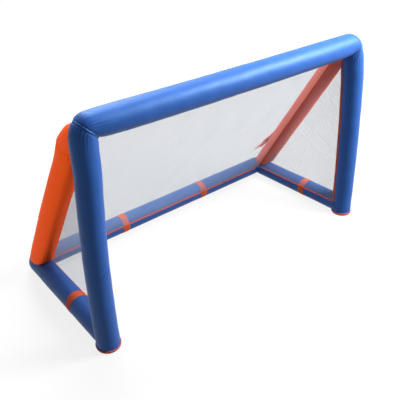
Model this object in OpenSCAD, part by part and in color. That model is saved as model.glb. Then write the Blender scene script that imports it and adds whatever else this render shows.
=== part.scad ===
// Inflatable hockey goal: air-filled fabric tubes with a stretched net.
// Millimetres, +Z up, X across the mouth, +Y from the mouth to the rear.
// The origin is on the ground at the middle of the bounding box.

/* [Goal frame] */
// Distance between the axes of the two posts
post_spacing = 1990; // [1600:10:2400]
// Height of the crossbar axis above the ground
bar_h = 1285; // [1150:5:1450]
// Distance from the post axes back to the rear ground tube axis
base_depth = 850; // [760:10:1000]
// Radius of the posts and the crossbar
tube_r = 65; // [60:0.5:72]
// Radius of the ground tubes
base_r = 62.5; // [56:0.5:64]
// Radius of the two braces
brace_r = 64; // [58:0.5:64.5]
// Rounding radius of the two top corners, seen from the front
corner_r = 60; // [40:1:62]

/* [Braces] */
// How far the elbow of a brace lies behind the post axis
elbow_back = 132; // [115:1:160]
// How far the elbow of a brace lies below the crossbar axis
elbow_drop = 126; // [110:1:150]
// How far the lower end of a brace axis stands in front of the rear tube axis
brace_foot_in = 34; // [20:1:60]
// Height at which the brace cloth is sewn to the sides of the ground tube
brace_end_h = 84; // [66:1:100]

/* [Fabric and film] */
// Thickness of the polyester sleeve
sleeve_t = 1.2; // [0.8:0.1:1.6]
// Air gap drawn between a sleeve and its bladder
bladder_gap = 0.8; // [0.5:0.1:1.2]
// Thickness of the bladder film
film_t = 0.6; // [0.4:0.1:0.8]
// Thickness of the net
net_t = 0.8; // [0.6:0.1:1.2]
// Height of the ground tubes above the ground, left by the straps and feet
base_lift = 0.8; // [0.5:0.1:1.2]

/* [Feet] */
// Height of a foot cap
foot_h = 16; // [12:1:20]
// How far a foot cap stands out past its post
foot_lip = 5; // [4:0.5:7]
// Thickness of the foot cap's floor
foot_floor = 3; // [2:0.5:5]
// Radius of the round cord in the welt above a foot cap
welt_r = 2.2; // [1.5:0.1:2.4]

/* [Net and bindings] */
// Width of the orange binding tape
binding_w = 12; // [8:1:16]
// Thickness of the folded binding tape
binding_t = 2.2; // [1.5:0.1:3]
// Angle below the rear of the crossbar at which the net is sewn on
top_net_angle = 30; // [20:1:45]
// Angle above the front of the rear ground tube at which the net is sewn on
back_hem_angle = 15; // [8:1:30]
// Angle above the inner side of a side ground tube at which the net is sewn on
side_hem_angle = 27; // [15:1:35]
// Angle round from the inner side of a post to its net seam
post_seam_angle = 30; // [24:1:34]
// Height at which the net seam of a post starts
post_seam_low = 100; // [95:1:120]
// Distance of the top of that seam below the crossbar axis
post_seam_drop = 90; // [85:1:120]
// Space between the corner seam of the net and the axis plane of a brace
corner_seam_in = 67; // [66:0.5:72]

/* [Straps] */
// Width of the webbing straps
strap_w = 50; // [30:1:60]
// Thickness of the webbing
strap_t = 1.5; // [1:0.1:2]
// Distance of each rear strap from the middle of the rear tube
back_strap_x = 355; // [330:5:500]
// Distance of each side strap behind the post axis
side_strap_y = 330; // [250:5:450]

/* [Zips] */
// Length of each zip
zip_len = 600; // [300:10:640]
// Width of the zip's tape
zip_tape_w = 26; // [20:1:32]
// Angle of the ground tube's zip above straight back
base_zip_angle = 30; // [20:1:45]

/* [Air valve] */
// Distance of the valve below the elbow, along the brace
valve_s = 1030; // [700:5:1060]
// Radius of the valve's bore, where a pump nozzle seals
valve_bore_r = 12.5; // [11:0.1:14]
// Travel of the poppet when the pump or a finger pushes it
poppet_travel = 5; // [3:0.5:6]
// Distance of the flap's sewn edge below the elbow
flap_s = 870; // [560:5:880]
// Length of the flap that covers the valve
flap_len = 300; // [260:5:310]
// Half of the angle that the flap wraps round the brace
flap_wrap = 34; // [25:1:40]
// Slope of the flap away from the brace, so that it clears the cap
flap_slope = 9; // [8.8:0.1:10]

/* [Hidden] */
$fn = 96;

left = -1;
right = 1;
eps = 0.01;
far = 400;                                   // reach of cutting blocks past a tube
half_w = post_spacing / 2;
base_z = base_r + base_lift;                 // height of the ground tube axes
foot_r = tube_r + foot_lip;
strap_gap = 0.1;                             // between a strap and its tube
strap_reach = base_r + strap_gap + strap_t;  // outer radius of a strap
y_mid = (base_depth + strap_reach - foot_r) / 2;   // puts the origin mid-depth
bladder_in = sleeve_t + bladder_gap;         // how far a bladder lies inside its sleeve's skin
film_in = bladder_in + film_t;

elbow_y = elbow_back;
elbow_z = bar_h - elbow_drop;
brace_foot_y = base_depth - brace_foot_in;
brace_a = atan2(brace_foot_y - elbow_y, elbow_z - base_z);   // lean of the lower brace
elbow_a = atan2(elbow_back, elbow_drop);                     // lean of the short upper part
mitre_a = (brace_a + elbow_a) / 2;
brace_len = (elbow_z - base_z) / cos(brace_a);
elbow_len = norm([elbow_back, elbow_drop]);

link_r = 12;                                 // air link pipe, outside
link_wall = 3;
link_len = 50;

seam_x = half_w - corner_seam_in;            // plane of the net's corner seams
hem_r = base_r + binding_t;
bar_hem_r = tube_r + binding_t;
net_clear = 0.5;
net_top = [bar_hem_r * cos(top_net_angle), bar_h - bar_hem_r * sin(top_net_angle)];
net_low = [base_depth - hem_r * cos(back_hem_angle), base_z + hem_r * sin(back_hem_angle)];
net_a = atan2(net_low[0] - net_top[0], net_top[1] - net_low[1]);
net_len = norm(net_top - net_low);
binding_fold = 3;                            // thickness of the binding on a corner seam

ORANGE = [0.95, 0.34, 0.10];
BLUE = [0.13, 0.30, 0.68];
NET = [0.86, 0.88, 0.92, 0.6];
FILM = [0.85, 0.88, 0.85, 0.7];
PLASTIC = [0.10, 0.11, 0.13];
METAL = [0.72, 0.73, 0.75];
RUBBER = [0.16, 0.16, 0.17];

// ---------- placing ----------

// the whole goal is drawn with the post axes at y = 0, then moved so that the origin is mid-depth
module placed() {
    translate([0, -y_mid, 0]) children();
}

module on_side(side) {
    if (side == left) mirror([1, 0, 0]) children();
    else children();
}

// origin at the elbow of the right brace, z up along the lower brace, y square out of its rear
module on_brace() {
    translate([half_w, elbow_y, elbow_z]) rotate([brace_a, 0, 0]) children();
}

// origin at the elbow, z along the short upper part towards the top corner
module on_elbow() {
    translate([half_w, elbow_y, elbow_z]) rotate([elbow_a, 0, 0]) children();
}

// origin on the brace axis, z out through the middle of the valve
module on_valve() {
    on_brace() translate([0, 0, -valve_s]) rotate([-90, 0, 0]) children();
}

// origin at the lower edge of the back net, z up along the net, y square out of its rear
module on_back_net() {
    translate([0, net_low[0], net_low[1]]) rotate([net_a, 0, 0]) children();
}

// ---------- shared shapes ----------

module bar_x(r, len) {
    rotate([0, 90, 0]) cylinder(h = len, r = r, center = true);
}

module bar_y(r, len) {
    rotate([-90, 0, 0]) cylinder(h = len, r = r);
}

// part of a ring between the angles mid - half and mid + half
module arc_band(r0, r1, mid, half) {
    reach = 2 * r1;
    difference() {
        intersection() {
            circle(r1);
            polygon([
                [0, 0],
                reach * [cos(mid - half), sin(mid - half)],
                reach * [cos(mid), sin(mid)],
                reach * [cos(mid + half), sin(mid + half)]
            ]);
        }
        circle(r0);
    }
}

// ---------- posts and crossbar ----------

// front outline of the arch, with rounded top corners, shrunk by off
module arch_outline(off, foot) {
    w = half_w + tube_r - off;
    top = bar_h + tube_r - off;
    c = corner_r - off;
    rotate([90, 0, 0]) linear_extrude(height = 4 * tube_r, center = true) {
        translate([-w, foot]) square([2 * w, top - c - foot]);
        translate([c - w, foot]) square([2 * (w - c), top - foot]);
        for (side = [left, right]) translate([side * (w - c), top - c]) circle(c);
    }
}

module crossbar_solid(off) {
    intersection() {
        translate([0, 0, bar_h]) bar_x(tube_r - off, post_spacing + 4 * tube_r);
        rotate([90, 0, 0]) linear_extrude(height = 4 * tube_r, center = true) polygon([
            [-half_w - far, bar_h + far], [half_w + far, bar_h + far],
            [half_w - far, bar_h - far], [far - half_w, bar_h - far]
        ]);
        arch_outline(off, 0);
    }
}

module post_solid(off, foot) {
    intersection() {
        translate([half_w, 0, foot]) cylinder(h = bar_h + 2 * tube_r - foot, r = tube_r - off);
        rotate([90, 0, 0]) linear_extrude(height = 4 * tube_r, center = true) polygon([
            [half_w - far, bar_h - far], [half_w + far, bar_h + far],
            [half_w + far, foot], [half_w - far, foot]
        ]);
        arch_outline(off, foot);
    }
}

module arch_solid(off, foot) {
    crossbar_solid(off);
    post_solid(off, foot);
    mirror([1, 0, 0]) post_solid(off, foot);
}

module crossbar_sleeve() color(BLUE) difference() {
    crossbar_solid(0);
    arch_solid(sleeve_t, 0);
    on_crossbar_zip() zip_slot(tube_r);
}

module post_sleeve(side) color(BLUE) on_side(side) difference() {
    post_solid(0, foot_h);
    arch_solid(sleeve_t, 0);
    upper_link_core(link_r);
}

module arch_bladder() color(FILM) difference() {
    arch_solid(bladder_in, foot_floor + 0.3);
    arch_solid(film_in, foot_floor + 0.3 + film_t);
    for (side = [left, right]) on_side(side) upper_link_core(link_r);
}

// ---------- feet ----------

// dished disc with a fully rounded rim, which closes the lower end of a post
module foot_cap(side) color(ORANGE) on_side(side) translate([half_w, 0, 0]) difference() {
    rotate_extrude() {
        square([foot_r - foot_h / 2, foot_h]);
        translate([foot_r - foot_h / 2, foot_h / 2]) intersection() {
            circle(foot_h / 2);
            translate([0, -foot_h]) square(2 * foot_h);
        }
    }
    translate([0, 0, foot_floor]) cylinder(h = foot_h, r = tube_r - bladder_in + 0.2);
}

module foot_welt(side) color(ORANGE) on_side(side) translate([half_w, 0, foot_h + 0.8])
    rotate_extrude() translate([tube_r + welt_r + 0.1, 0]) circle(welt_r, $fn = 32);

// room that a foot cap and its welt take at the end of a side ground tube
module foot_room() {
    translate([half_w, 0, -1]) cylinder(h = foot_h + 2 * welt_r + 1, r = foot_r + 0.3);
}

// ---------- ground tubes ----------

module side_base_solid(off) {
    intersection() {
        translate([half_w, 0, base_z]) bar_y(base_r - off, base_depth + 2 * base_r);
        linear_extrude(height = 4 * base_r) polygon([
            [half_w - far, base_depth - far], [half_w + far, base_depth + far],
            [half_w + far, -far], [half_w - far, -far]
        ]);
    }
}

module back_base_solid(off) {
    intersection() {
        translate([0, base_depth, base_z]) bar_x(base_r - off, post_spacing + 4 * base_r);
        linear_extrude(height = 4 * base_r) polygon([
            [-half_w - far, base_depth + far], [half_w + far, base_depth + far],
            [half_w - far, base_depth - far], [far - half_w, base_depth - far]
        ]);
    }
}

// the U of ground tubes, stopped short of the posts by post_clear
module base_solid(off, post_clear) {
    back_base_solid(off);
    for (side = [left, right]) on_side(side) difference() {
        side_base_solid(off);
        translate([half_w, 0, -far]) cylinder(h = 2 * far, r = tube_r + post_clear);
    }
}

module base_sleeve(side) color(BLUE) on_side(side) difference() {
    side_base_solid(0);
    base_solid(sleeve_t, -tube_r + 1);
    translate([half_w, 0, -far]) cylinder(h = 2 * far, r = tube_r);
    foot_room();
    lower_link_core(link_r);
}

module back_base_sleeve() color(BLUE) difference() {
    back_base_solid(0);
    base_solid(sleeve_t, 0);
    on_base_zip() zip_slot(base_r);
}

module base_bladder() color(FILM) difference() {
    base_solid(bladder_in, foot_lip + 1);
    base_solid(film_in, foot_lip + 1 + film_t);
    for (side = [left, right]) on_side(side) lower_link_core(link_r);
}

// ---------- braces ----------

// half space below the mitre between the two parts of a brace
module below_mitre() {
    translate([half_w, elbow_y, elbow_z]) rotate([mitre_a, 0, 0])
        translate([-far, -far, -4 * far]) cube([2 * far, 2 * far, 4 * far]);
}

module lower_brace_solid(off) {
    intersection() {
        on_brace() translate([0, 0, -brace_len - 2 * base_r])
            cylinder(h = brace_len + 4 * base_r, r = brace_r - off);
        below_mitre();
    }
}

module upper_brace_solid(off) {
    difference() {
        on_elbow() translate([0, 0, -brace_r]) cylinder(h = elbow_len + brace_r, r = brace_r - off);
        below_mitre();
    }
}

module brace_solid(off) {
    lower_brace_solid(off);
    upper_brace_solid(off);
}

module ground_cut(h) {
    translate([-2 * half_w, -far, h - 2 * far]) cube([4 * half_w, base_depth + 2 * far, 2 * far]);
}

module brace_sleeve(side) color(ORANGE) on_side(side) difference() {
    lower_brace_solid(0);
    brace_solid(sleeve_t);
    base_solid(0, 0);
    ground_cut(brace_end_h);
    if (side == right) valve_hole();
}

module elbow_sleeve(side) color(ORANGE) on_side(side) difference() {
    upper_brace_solid(0);
    brace_solid(sleeve_t);
    arch_solid(0, foot_h);
}

// room inside a brace, with flat welded ends that stay clear of the arch and the ground tubes
module brace_room(off, clear) {
    weld_step = 0.2;                         // the upper tube of film is this much slimmer
    difference() {
        union() {
            lower_brace_solid(off);
            upper_brace_solid(off + weld_step);
        }
        translate([-2 * half_w, tube_r + clear - far, 0]) cube([4 * half_w, far, 2 * bar_h]);
        ground_cut(base_z + base_r + clear);
    }
}

module brace_bladder(side) color(FILM) on_side(side) difference() {
    brace_room(bladder_in, bladder_gap);
    brace_room(film_in, bladder_gap + film_t);
    upper_link_core(link_r);
    lower_link_core(link_r);
    if (side == right) valve_hole();
}

// ---------- air links ----------

// short pipes that join the chambers, so that one valve fills them all
module upper_link_core(r) {
    link_mid = elbow_len - tube_r / sin(elbow_a);
    on_elbow() translate([0, 0, link_mid - link_len / 2]) cylinder(h = link_len, r = r);
}

module lower_link_core(r) {
    link_mid = -brace_len + base_r / cos(brace_a);
    on_brace() translate([0, 0, link_mid - link_len / 2]) cylinder(h = link_len, r = r);
}

module upper_air_links() color(FILM) for (side = [left, right]) on_side(side) difference() {
    upper_link_core(link_r);
    on_elbow() translate([0, 0, -far]) cylinder(h = 2 * far, r = link_r - link_wall);
}

module lower_air_links() color(FILM) for (side = [left, right]) on_side(side) difference() {
    lower_link_core(link_r);
    on_brace() translate([0, 0, -2 * brace_len]) cylinder(h = 2 * brace_len, r = link_r - link_wall);
}

// ---------- net ----------

module back_net() color(NET) on_back_net()
    translate([-seam_x + binding_fold, -net_t / 2, net_clear])
        cube([2 * (seam_x - binding_fold), net_t, net_len - 2 * net_clear]);

// four-cornered sheet from the corner seam to the post seam, thick along x
module side_net(side) color(NET) on_side(side) {
    up = (net_top - net_low) / net_len;      // along the corner seam, in y and z
    forward = [binding_fold + 2, 0];         // keeps the rear edge in front of the corner binding
    top_gap = 22;                            // left at the upper end of the corner seam
    low_gap = 26;                            // left at its lower end
    rear_top = net_low + up * (net_len - top_gap) - forward;
    rear_low = net_low + up * low_gap - forward;
    post_x = half_w - (bar_hem_r + net_clear) * cos(post_seam_angle);
    post_y = (bar_hem_r + net_clear) * sin(post_seam_angle) + 2;
    hem_x = half_w - (hem_r + net_clear) * cos(side_hem_angle);
    hem_z = base_z + (hem_r + net_clear) * sin(side_hem_angle) + 1;
    corners = [
        [seam_x, rear_top[0], rear_top[1]],
        [min(seam_x + 4, hem_x), rear_low[0], max(rear_low[1], hem_z)],
        [min(post_x, hem_x), post_y, hem_z],
        [post_x, post_y, bar_h - post_seam_drop]
    ];
    shift = [-net_t, 0, 0];
    polyhedron(
        points = concat(corners, [for (p = corners) p + shift]),
        faces = [
            [0, 1, 2], [0, 2, 3], [6, 5, 4], [7, 6, 4],
            [0, 4, 5], [0, 5, 1], [1, 5, 6], [1, 6, 2],
            [2, 6, 7], [2, 7, 3], [3, 7, 4], [3, 4, 0]
        ]
    );
}

// ---------- bindings ----------

// half of the angle that a binding of width w takes on a tube of radius r
function half_angle(w, r) = w / r * 90 / PI;

module along_x(len) {
    rotate([90, 0, 90]) linear_extrude(height = len, center = true) children();
}

module top_net_binding() color(ORANGE) translate([0, 0, bar_h]) along_x(2 * seam_x)
    arc_band(tube_r, bar_hem_r, -top_net_angle, half_angle(binding_w, tube_r));

// section of the net's hem on a ground tube, at an angle above the tube's inner side
module hem_section(angle) {
    arc_band(base_r, hem_r, 180 - angle, half_angle(binding_w, base_r));
}

module back_hem_binding() color(ORANGE) translate([0, base_depth, base_z])
    along_x(2 * (seam_x - binding_w)) hem_section(back_hem_angle);

// the tape of a side net's hem, from the post to just short of the brace
module hem_binding(side) color(ORANGE) on_side(side) {
    rear_gap = 42;                           // left in front of the rear tube, for the brace
    rear_end = base_depth - base_r - rear_gap;
    front_end = foot_r;
    difference() {
        translate([half_w, rear_end, base_z]) rotate([90, 0, 0])
            linear_extrude(height = rear_end - front_end) hem_section(side_hem_angle);
        foot_room();
    }
}

// folded tape over the raw edges where the back net and a side net meet, inside the corner
module corner_binding(side) color(ORANGE) on_side(side) on_back_net()
    translate([seam_x, 0, binding_w]) rotate([0, 0, 225])
        translate([0, -binding_fold / 2, 0])
            cube([binding_w, binding_fold, net_len - 2 * binding_w - 8]);

module post_binding(side) color(ORANGE) on_side(side)
    translate([half_w, 0, post_seam_low])
        linear_extrude(height = bar_h - post_seam_drop - post_seam_low)
            arc_band(tube_r, bar_hem_r, 180 - post_seam_angle, half_angle(binding_w, tube_r));

// ---------- straps ----------

// ring section of a strap, flat on the ground
module strap_ring() {
    difference() {
        circle(strap_reach);
        circle(base_r + strap_gap);
        translate([-2 * base_r, -2 * base_r - base_z]) square([4 * base_r, 2 * base_r]);
    }
}

// gap in a strap where the net's hem passes
module hem_opening(angle) {
    arc_band(base_r - 1, hem_r + 1, 180 - angle, half_angle(binding_w + 1, base_r));
}

module back_strap(side) color(ORANGE) on_side(side)
    translate([back_strap_x, base_depth, base_z]) along_x(strap_w) difference() {
        strap_ring();
        hem_opening(back_hem_angle);
    }

module side_strap(side) color(ORANGE) on_side(side)
    translate([half_w, side_strap_y, base_z]) rotate([90, 0, 0])
        linear_extrude(height = strap_w, center = true) difference() {
            strap_ring();
            hem_opening(side_hem_angle);
        }

// ---------- zips ----------

slider_len = 14;
zip_stop = 5;                                // length of the stop at each end
tape_t = 0.8;
coil_w = 4.8;
coil_t = 2;
pin_r = 0.9;                                 // bar that carries the pull tab
pin_h = 8;                                   // its height above the tube
pull_len = 28;

// zip frames: x along the tube, z out of it, origin on the tube axis
module on_crossbar_zip() {
    translate([0, 0, bar_h]) rotate([-90, 0, 0]) children();
}

module on_base_zip() {
    translate([0, base_depth, base_z]) rotate([base_zip_angle - 90, 0, 0]) children();
}

// opening in the sleeve under a zip
module zip_slot(r) {
    slot_w = 3;
    end_gap = 12;
    translate([-zip_len / 2 + end_gap, -slot_w / 2, r / 2]) cube([zip_len - 2 * end_gap, slot_w, r]);
}

// two woven tapes that meet in the middle
module zip_tape(r) color(PLASTIC) for (edge = [left, right])
    along_x(zip_len) arc_band(r, r + tape_t, 90 + edge * half_angle(zip_tape_w / 2 + 0.3, r),
        half_angle(zip_tape_w / 2 - 0.3, r));

// closed coil, drawn as a rail with a neck, and a stop at each end
module zip_coil(r) color(ORANGE) {
    translate([-zip_len / 2 + zip_stop, -1, r + tape_t]) cube([zip_len - 2 * zip_stop, 2, 1 + eps]);
    translate([-zip_len / 2 + zip_stop, -coil_w / 2, r + tape_t + 1])
        cube([zip_len - 2 * zip_stop, coil_w, coil_t]);
    for (end = [-zip_len / 2, zip_len / 2 - zip_stop])
        translate([end, -coil_w / 2 - 0.8, r + tape_t]) cube([zip_stop, coil_w + 1.6, 3.6]);
}

// slider parked against the stop at the +x end
slider_x = zip_len / 2 - zip_stop - slider_len / 2 - 0.3;

module zip_slider(r) color(METAL) translate([slider_x, 0, r]) {
    difference() {
        translate([-slider_len / 2, -4.6, 0.95]) cube([slider_len, 9.2, 4.45]);
        translate([-slider_len, -2.7, 1.6]) cube([2 * slider_len, 5.4, 2.5]);
        translate([-slider_len, -1.3, 0]) cube([2 * slider_len, 2.6, 2]);
        for (corner = [left, right]) translate([slider_len / 2, corner * 4.6, 0])
            rotate([0, 0, 45]) cube([3, 3, 20], center = true);
    }
    difference() {
        for (cheek = [-4, 2.8]) translate([-2, cheek, 5.3]) cube([4, 1.2, pin_h - 5.3 + 1.4]);
        translate([-3, -5, pin_h + 1.2]) cube([6, 10, 1]);
    }
    translate([0, -3, pin_h]) bar_y(pin_r, 6);
}

// tab with an eye round the slider's bar, lying along the zip
module zip_pull(r) color(METAL) translate([slider_x, 0, r + pin_h]) difference() {
    union() {
        translate([0, -2.4, 0]) bar_y(2, 4.8);
        translate([0, -2.4, -0.8]) cube([8, 4.8, 1.6]);
        translate([7, -4, -0.8]) cube([pull_len - 11, 8, 1.6]);
        translate([pull_len - 4, 0, -0.8]) cylinder(h = 1.6, r = 4);
    }
    translate([0, -4, 0]) bar_y(pin_r + 0.15, 8);
    translate([pull_len - 5, 0, -2]) cylinder(h = 4, r = 1.8);
}

// ---------- air valve ----------

skin = brace_r;                              // height of the brace's surface on the valve's axis
barrel_r = valve_bore_r + 4.5;
flange_r = 24;
flange_t = 4;
neck_r = valve_bore_r + 3.5;
neck_top = skin + 10;
seat_z = skin - 12;                          // underside of the seat that the poppet seals on
seat_t = 2;
seal_t = 1.5;
disc_t = 2;                                  // plate of the poppet that carries the seal
barrel_low = seat_z - seal_t - disc_t - poppet_travel - 3.5;
stem_r = 2.5;
hub_r = 5;
arm_w = 2.4;                                 // width of the stem guide's arms
cap_r = 19;
cap_t = 3;
cap_z = neck_top + 1.2;                      // underside of the cap's top plate
stud_r = 6;                                  // stud on the cap that holds the tether
spring_low = seat_z + 2 * seat_t;
spring_high = spring_low + poppet_travel + 5;
turn_gap = 0.15;                             // round a barrel in its hole

module valve_hole() {
    on_valve() translate([0, 0, skin / 2]) cylinder(h = skin, r = barrel_r + turn_gap);
}

// bar of radius r on the brace's axis, in the valve's frame
module brace_bar(r) {
    translate([0, far, 0]) rotate([90, 0, 0]) cylinder(h = 2 * far, r = r);
}

// flanged body: barrel through the wall, seat and three-armed stem guide inside
module valve_body() color(PLASTIC) on_valve() {
    difference() {
        union() {
            translate([0, 0, barrel_low]) cylinder(h = skin + flange_t / 2 - barrel_low, r = barrel_r);
            difference() {
                translate([0, 0, skin - 2 * flange_t]) cylinder(h = 3 * flange_t, r = flange_r);
                brace_bar(skin);
            }
            translate([0, 0, skin]) cylinder(h = neck_top - skin, r = neck_r);
        }
        translate([0, 0, barrel_low - 1]) cylinder(h = 2 * skin, r = valve_bore_r);
    }
    difference() {
        translate([0, 0, seat_z]) cylinder(h = seat_t, r = valve_bore_r + eps);
        translate([0, 0, seat_z - 1]) cylinder(h = 2 * seat_t, r = valve_bore_r - 3);
    }
    difference() {
        for (arm = [0 : 2]) rotate([0, 0, 120 * arm]) translate([0, -arm_w / 2, seat_z + seat_t])
            cube([valve_bore_r + eps, arm_w, seat_t]);
        translate([0, 0, seat_z]) cylinder(h = 3 * seat_t, r = hub_r - eps);
    }
    translate([0, 0, seat_z + seat_t]) difference() {
        cylinder(h = seat_t, r = hub_r);
        translate([0, 0, -1]) cylinder(h = 2 * seat_t, r = stem_r + 0.1);
    }
}

// ring that screws onto the barrel inside the bladder and clamps the wall
module valve_clamp_nut() color(PLASTIC) on_valve() intersection() {
    translate([0, 0, skin - 4 * flange_t]) difference() {
        cylinder(h = 4 * flange_t, r = flange_r);
        translate([0, 0, -1]) cylinder(h = 5 * flange_t, r = barrel_r + turn_gap);
    }
    brace_bar(brace_r - film_in - 0.1);
}

module valve_poppet() color(ORANGE) on_valve() {
    translate([0, 0, seat_z - seal_t - disc_t]) cylinder(h = disc_t, r = valve_bore_r - 1);
    translate([0, 0, seat_z - seal_t - disc_t / 2])
        cylinder(h = spring_high - seat_z + seal_t + disc_t, r = stem_r);
    translate([0, 0, spring_high]) cylinder(h = disc_t, r = 6);
}

module valve_seal() color(RUBBER) on_valve() translate([0, 0, seat_z - seal_t]) difference() {
    cylinder(h = seal_t - 0.02, r = valve_bore_r - 1);
    translate([0, 0, -1]) cylinder(h = seal_t + 2, r = 8);
}

// closed tube swept along a path of points: one ring of sides round each point
module swept_wire(path, r, sides) {
    n = len(path);
    tangents = [for (i = [0 : n - 1])
        let (t = path[min(i + 1, n - 1)] - path[max(i - 1, 0)]) t / norm(t)];
    rings = [for (i = [0 : n - 1])
        let (t = tangents[i], out = cross(t, [0, 0, 1]) / norm(cross(t, [0, 0, 1])), up = cross(out, t))
            for (k = [0 : sides - 1])
                path[i] + r * (cos(360 * k / sides) * out + sin(360 * k / sides) * up)];
    walls = [for (i = [0 : n - 2], k = [0 : sides - 1])
        let (a = i * sides + k, b = i * sides + (k + 1) % sides)
            each [[a, b, b + sides], [a, b + sides, a + sides]]];
    ends = concat(
        [for (k = [1 : sides - 2]) [0, k + 1, k]],
        [for (k = [1 : sides - 2]) [(n - 1) * sides, (n - 1) * sides + k, (n - 1) * sides + k + 1]]);
    polyhedron(points = rings, faces = concat(walls, ends));
}

// compression spring between the stem guide and the poppet's button
module valve_spring() color(METAL) on_valve() {
    wire_r = 0.4;
    turns = 4;
    rings = 12;
    rise = spring_high - spring_low - 2 * wire_r - 0.1;
    path = [for (i = [0 : turns * rings])
        let (a = 360 * i / rings)
            [4 * cos(a), 4 * sin(a), spring_low + wire_r + 0.05 + rise * i / (turns * rings)]];
    swept_wire(path, wire_r, 6);
}

// screw cap with a notched edge and a threaded skirt that goes into the bore
module valve_cap() color(ORANGE) on_valve() {
    skirt_h = 5.5;
    stud_h = 2;
    difference() {
        translate([0, 0, cap_z]) cylinder(h = cap_t, r = cap_r);
        for (notch = [0 : 11]) rotate([0, 0, 30 * notch]) translate([cap_r + 0.8, 0, cap_z - 1])
            cylinder(h = cap_t + 2, r = 2, $fn = 24);
    }
    difference() {
        translate([0, 0, cap_z - skirt_h]) cylinder(h = skirt_h + eps, r = valve_bore_r - 0.3);
        translate([0, 0, cap_z - skirt_h - 1]) cylinder(h = skirt_h + 1, r = valve_bore_r - 2.5);
    }
    translate([0, 0, cap_z + cap_t - eps]) cylinder(h = stud_h + 0.1, r = stud_r);
    translate([0, 0, cap_z + cap_t + stud_h]) cylinder(h = 1.2, r = stud_r + 1.5);
}

module valve_cap_gasket() color(RUBBER) on_valve() translate([0, 0, neck_top + 0.05]) difference() {
    cylinder(h = 1.1, r = neck_r);
    translate([0, 0, -1]) cylinder(h = 3, r = valve_bore_r);
}

// soft strip down the brace side, with a ring round the cap's stud and one round the valve's neck
module valve_tether() color(RUBBER) on_valve() {
    low = skin + flange_t + 0.1;
    high = cap_z + cap_t + 0.2;
    strip_t = 1.5;
    strip_w = 6;
    out = cap_r + 4;                         // how far out the strip bends down
    difference() {
        union() {
            translate([0, 0, high]) cylinder(h = strip_t, r = stud_r + 4);
            translate([-strip_w / 2, 0, high]) cube([strip_w, out + strip_t, strip_t]);
        }
        translate([0, 0, high - 1]) cylinder(h = strip_t + 2, r = stud_r + 0.2);
    }
    translate([-strip_w / 2, out, low]) cube([strip_w, strip_t, high - low + strip_t]);
    difference() {
        union() {
            translate([0, 0, low]) cylinder(h = strip_t, r = neck_r + 3.2);
            translate([-strip_w / 2, 0, low]) cube([strip_w, out + strip_t, strip_t]);
        }
        translate([0, 0, low - 1]) cylinder(h = strip_t + 2, r = neck_r + 0.3);
    }
}

flap_t = 2;
flap_gap = 0.4;                              // between the brace and the flap's sewn edge
flap_pivot = 2;                              // height of its hinge line above the brace
flap_hem_gap = 3;                            // from that line up to the hem tape

// fabric flap over the valve: sewn at its top, sloping clear of the cap, open at its lower end
module valve_flap() color(ORANGE) on_brace()
    translate([0, brace_r + flap_pivot, -flap_s]) rotate([flap_slope, 0, 0])
        translate([0, -brace_r - flap_pivot, -flap_len]) linear_extrude(height = flap_len)
            arc_band(brace_r + flap_gap, brace_r + flap_gap + flap_t, 90, flap_wrap);

module valve_flap_hem() color(ORANGE) on_brace() translate([0, 0, -flap_s + flap_hem_gap])
    linear_extrude(height = binding_w) arc_band(brace_r, brace_r + binding_t, 90, flap_wrap);

// ---------- nodes ----------

placed() crossbar_sleeve();
placed() post_sleeve(left);  // left_post_sleeve
placed() post_sleeve(right);  // right_post_sleeve
placed() base_sleeve(left);  // left_base_sleeve
placed() base_sleeve(right);  // right_base_sleeve
placed() back_base_sleeve();
placed() brace_sleeve(left);  // left_brace_sleeve
placed() brace_sleeve(right);  // right_brace_sleeve
placed() elbow_sleeve(left);  // left_elbow_sleeve
placed() elbow_sleeve(right);  // right_elbow_sleeve
placed() foot_cap(left);  // left_foot_cap
placed() foot_cap(right);  // right_foot_cap
placed() foot_welt(left);  // left_foot_welt
placed() foot_welt(right);  // right_foot_welt
placed() arch_bladder();
placed() base_bladder();
placed() brace_bladder(left);  // left_brace_bladder
placed() brace_bladder(right);  // right_brace_bladder
placed() upper_air_links();
placed() lower_air_links();
placed() back_net();
placed() side_net(left);  // left_side_net
placed() side_net(right);  // right_side_net
placed() top_net_binding();
placed() back_hem_binding();
placed() hem_binding(left);  // left_hem_binding
placed() hem_binding(right);  // right_hem_binding
placed() corner_binding(left);  // left_corner_binding
placed() corner_binding(right);  // right_corner_binding
placed() post_binding(left);  // left_post_binding
placed() post_binding(right);  // right_post_binding
placed() back_strap(left);  // back_left_strap
placed() back_strap(right);  // back_right_strap
placed() side_strap(left);  // left_base_strap
placed() side_strap(right);  // right_base_strap
placed() on_crossbar_zip() zip_tape(tube_r);  // crossbar_zip_tape
placed() on_crossbar_zip() zip_coil(tube_r);  // crossbar_zip_coil
placed() on_crossbar_zip() zip_slider(tube_r);  // crossbar_zip_slider
placed() on_crossbar_zip() zip_pull(tube_r);  // crossbar_zip_pull
placed() on_base_zip() zip_tape(base_r);  // base_zip_tape
placed() on_base_zip() zip_coil(base_r);  // base_zip_coil
placed() on_base_zip() zip_slider(base_r);  // base_zip_slider
placed() on_base_zip() zip_pull(base_r);  // base_zip_pull
placed() valve_body();
placed() valve_clamp_nut();
placed() valve_poppet();
placed() valve_seal();
placed() valve_spring();
placed() valve_cap();
placed() valve_cap_gasket();
placed() valve_tether();
placed() valve_flap();
placed() valve_flap_hem();
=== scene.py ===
"""The looks of an inflatable hockey goal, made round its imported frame, in metres.

Air-filled tubes of satin cloth make the goal. The net, its edge tapes, the straps and the
zips are sewn to them, so each of these is laid on the skin of a tube.
"""

import bpy
import numpy as np
from mathutils import Matrix, Vector


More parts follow.
